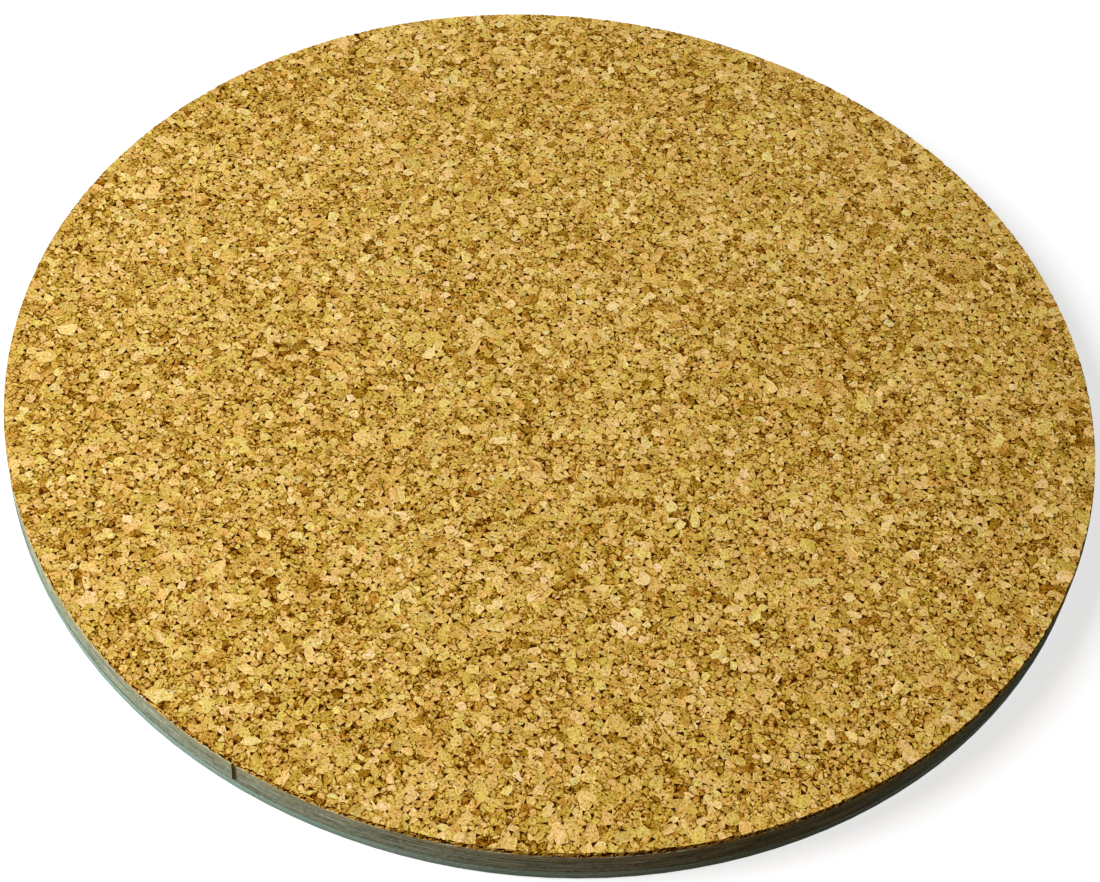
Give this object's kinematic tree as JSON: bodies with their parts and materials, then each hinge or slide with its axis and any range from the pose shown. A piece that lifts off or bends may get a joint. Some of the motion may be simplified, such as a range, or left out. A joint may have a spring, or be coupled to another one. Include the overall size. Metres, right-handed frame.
{
  "type": "cork bulletin board",
  "caption": "Round frameless cork bulletin board: cork sheet on a softboard core with a foam back, a grey edge band and a sawtooth hanger let into the back.",
  "frame": {"origin": "centre of the foam's back face, the bottom centre of the part when the board lies on its back", "axes": "+Z out of the cork face, +Y up when the board hangs on a wall, so the hanger is on the +Y side and the joint of the edge band at -Y"},
  "size_m": [0.3, 0.3, 0.0119],
  "materials": {
    "cork": "matte, agglomerated granules",
    "bonding_film": "matte, translucent adhesive film",
    "softboard": "matte, pressed wood fibre",
    "foam": "matte, fine closed cells",
    "edge_band": "semi-gloss, fine lengthwise streaks",
    "hanger_steel": "bright zinc plated",
    "screw_steel": "bright zinc plated"
  },
  "bodies": {
    "root": {"cork_face": "cork", "cork_bond_film": "bonding_film", "core_board": "softboard", "foam_bond_film": "bonding_film", "foam_back": "foam", "edge_band": "edge_band", "sawtooth_hanger": "hanger_steel", "hanger_screw_left": "screw_steel", "hanger_screw_right": "screw_steel"}
  },
  "joints": []
}
